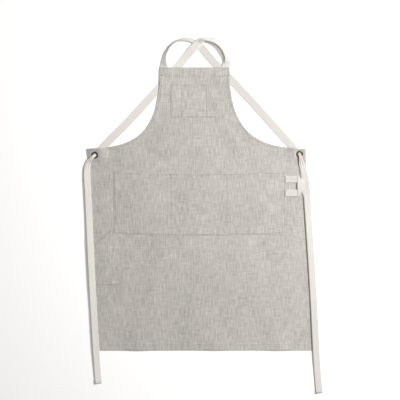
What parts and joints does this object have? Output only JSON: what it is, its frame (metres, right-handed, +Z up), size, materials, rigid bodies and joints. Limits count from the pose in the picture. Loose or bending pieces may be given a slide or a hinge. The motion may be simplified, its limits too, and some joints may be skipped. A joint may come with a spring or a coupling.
{
  "type": "linen apron",
  "caption": "Cross-back linen apron lying flat: bib and skirt panel, patch pockets on bib, waist and side, tape towel loop, and tape straps that cross and tie through metal eyelets.",
  "frame": {"origin": "on the surface that the apron lies on, under the middle of its bounding box with the straps and ties", "axes": "+Z up out of the front of the cloth, +Y from the hem to the bib, +X to the right as the front is seen from above"},
  "size_m": [0.7526, 1.119, 0.0179],
  "materials": {
    "linen": "washed grey-beige linen with fine slubs along the warp",
    "cotton_tape": "cream cotton twill tape",
    "eyelet_metal": "dark antique brass, satin"
  },
  "bodies": {
    "root": {"apron_panel": "linen", "waist_pocket": "linen", "chest_pocket": "linen", "side_pocket": "linen", "towel_loop": "cotton_tape", "grommet_left": "eyelet_metal", "grommet_right": "eyelet_metal", "strap_left_loop": "cotton_tape", "strap_left_back": "cotton_tape", "tie_right": "cotton_tape", "strap_right_loop": "cotton_tape", "strap_right_back": "cotton_tape", "tie_left": "cotton_tape"}
  },
  "joints": []
}
